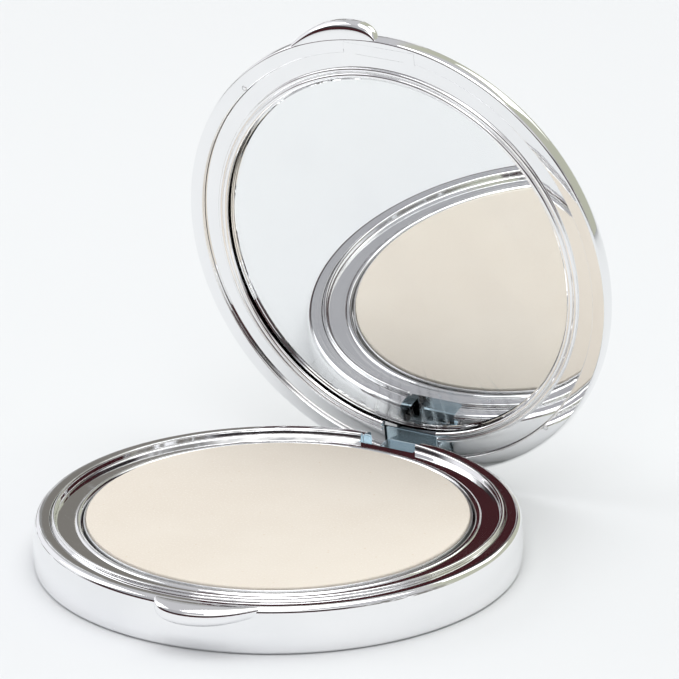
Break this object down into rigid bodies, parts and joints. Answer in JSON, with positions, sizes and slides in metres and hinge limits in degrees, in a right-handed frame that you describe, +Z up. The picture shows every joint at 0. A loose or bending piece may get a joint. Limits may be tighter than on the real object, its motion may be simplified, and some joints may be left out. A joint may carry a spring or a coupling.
{
  "type": "powder compact",
  "caption": "Round chrome-plated compact: low base with a pan of pressed powder, hinged domed lid with an inset round mirror, interlocking teardrop thumb tabs.",
  "frame": {"origin": "centre of the underside of the base, on the surface it rests on", "axes": "+Z up, thumb tabs towards -Y, hinge axis along X at the back (+Y); the lid stands open at rest"},
  "size_m": [0.0744, 0.0827, 0.076],
  "materials": {
    "chrome_shell": "bright chrome-plated ABS",
    "chrome_inner": "bright chrome-plated ABS, inner mouldings",
    "chrome_bead": "polished chrome-plated bead",
    "hinge_plastic": "blue-grey lacquered acetal hinge arm",
    "pin_steel": "drawn steel wire",
    "pan_aluminium": "pressed aluminium",
    "powder": "pressed ivory face powder, soft matte",
    "adhesive": "tacky hot-melt adhesive",
    "label": "blank satin label",
    "mirror_glass": "clear float glass in front of silvering",
    "silvering": "silver film under grey backing paint",
    "foam_tape": "black double-sided foam tape",
    "bumper": "clear soft plastic studs"
  },
  "bodies": {
    "base": {"base_shell": "chrome_shell", "base_deck": "chrome_inner", "base_label": "label", "powder_pan": "pan_aluminium", "powder_cake": "powder", "pan_adhesive": "adhesive", "hinge_pin": "pin_steel"},
    "lid": {"hinge_arm": "hinge_plastic", "lid_shell": "chrome_shell", "lid_frame": "chrome_inner", "lid_catch": "chrome_inner", "lid_bumpers": "bumper", "mirror_bezel": "chrome_bead", "mirror_glass": "mirror_glass", "mirror_silvering": "silvering", "mirror_tape": "foam_tape"}
  },
  "joints": [
    {"name": "lid_hinge", "type": "hinge", "parent": "base", "child": "lid", "pos_m": [0, 0.0347, 0.002], "axis": [-1, 0, 0], "range_deg": [-82.5, 4]}
  ]
}
